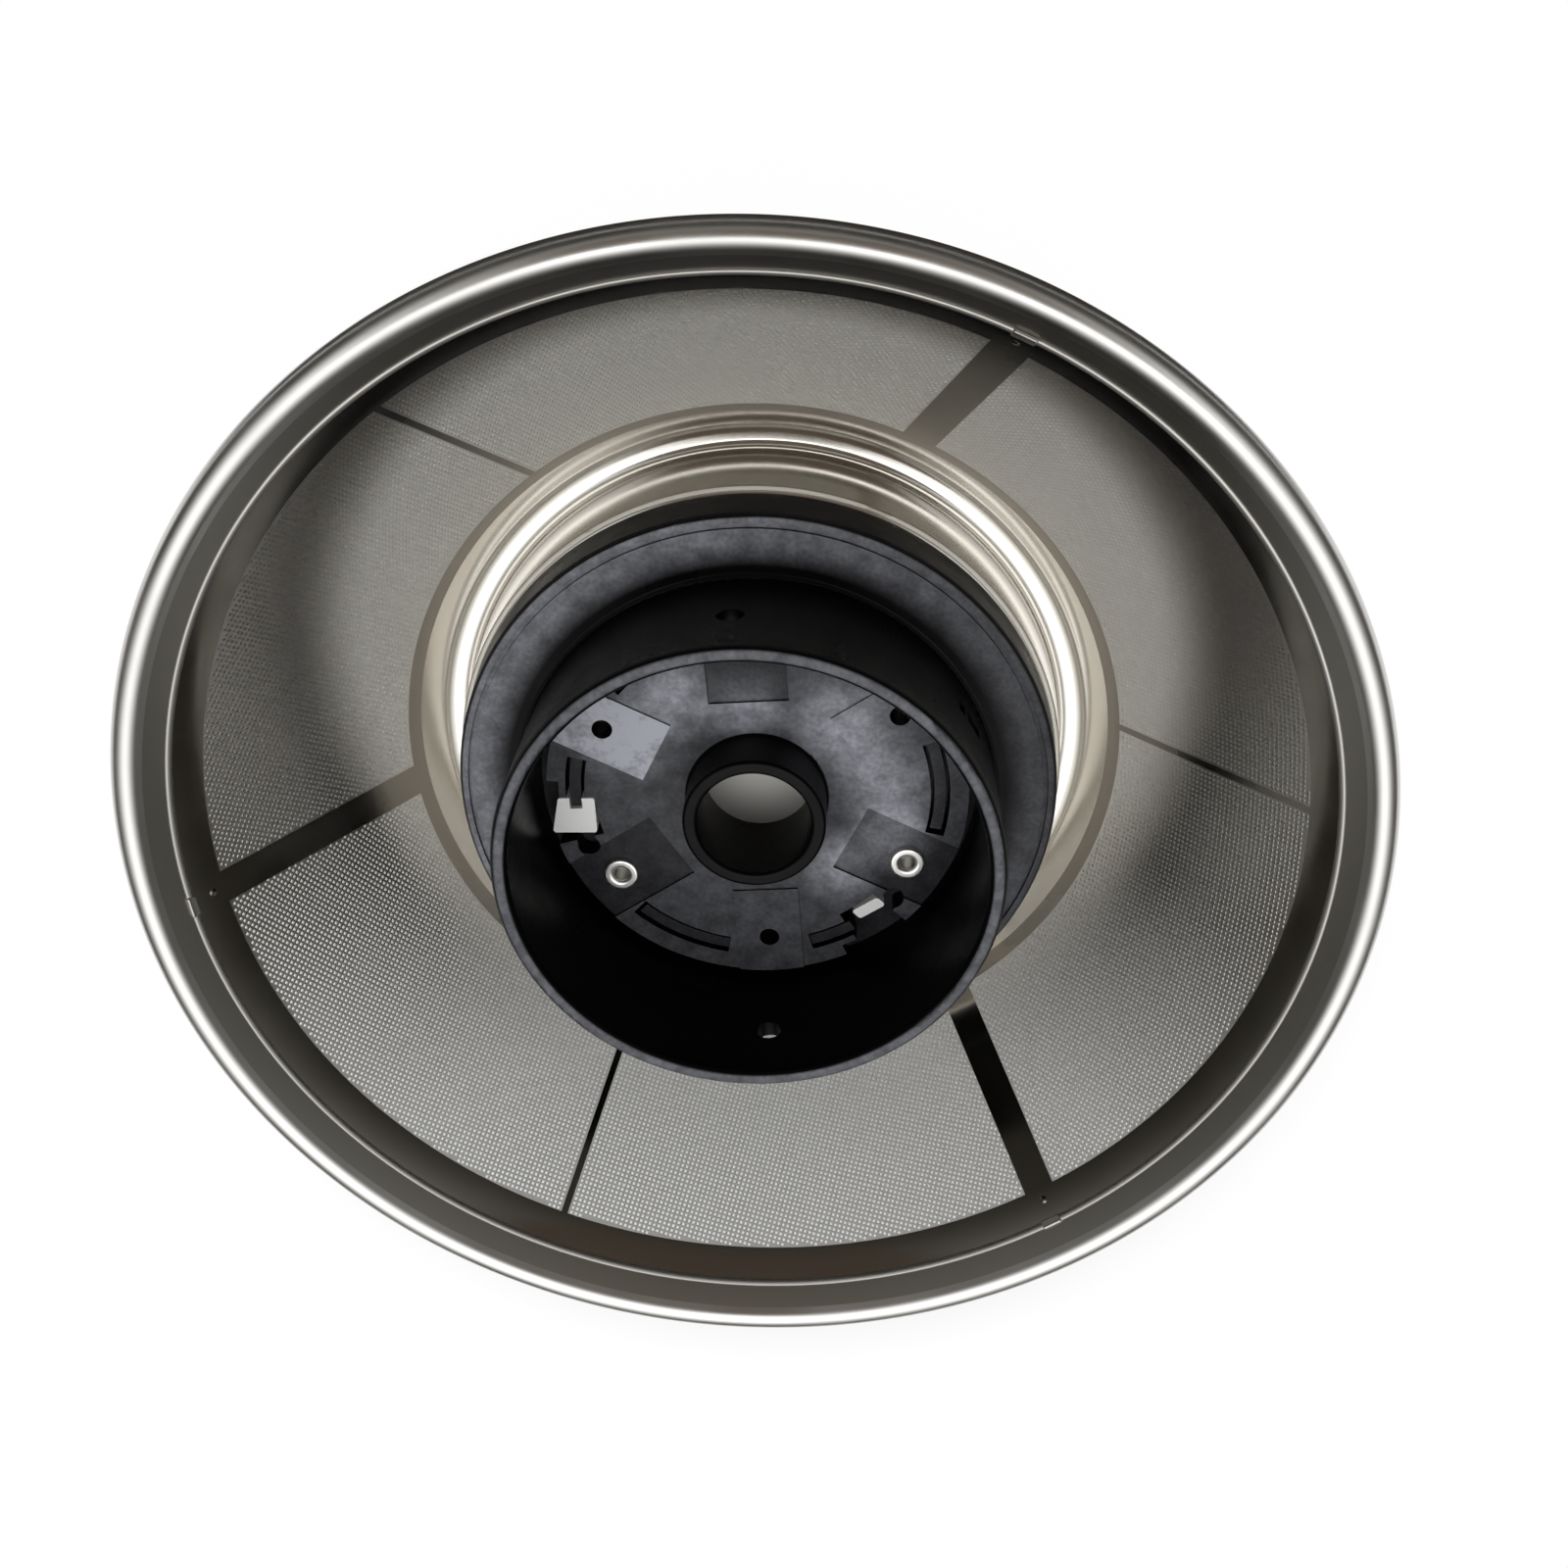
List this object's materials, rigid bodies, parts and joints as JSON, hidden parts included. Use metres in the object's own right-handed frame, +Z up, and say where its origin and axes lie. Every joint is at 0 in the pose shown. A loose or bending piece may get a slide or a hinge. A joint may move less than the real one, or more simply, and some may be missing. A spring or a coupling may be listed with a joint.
{
  "type": "juicer mesh screen",
  "caption": "Conical perforated steel strainer basket of a centrifugal juicer, with a rolled rim, a raised pan centre and a black moulded drive hub standing in the bowl.",
  "frame": {"origin": "on the axis, level with the underside of the trough ring that the basket rests on", "axes": "+Z up along the spin axis, out of the bowl and out of the drive socket; the picture looks from -Y and above"},
  "size_m": [0.192, 0.192, 0.0507],
  "materials": {
    "rim_steel": "polished stainless",
    "mesh_steel": "etched stainless sheet",
    "pan_steel": "polished stainless",
    "disc_steel": "satin stainless",
    "hub_plastic": "black moulded, flow marks",
    "rivet_steel": "bright plated",
    "clip_plastic": "white moulded"
  },
  "bodies": {
    "root": {"rim_ring": "rim_steel", "mesh_cone": "mesh_steel", "base_pan": "pan_steel", "shredding_disc": "disc_steel", "drive_hub": "hub_plastic", "hollow_rivets": "rivet_steel", "wide_balance_clip": "clip_plastic", "narrow_balance_clip": "clip_plastic"}
  },
  "joints": []
}
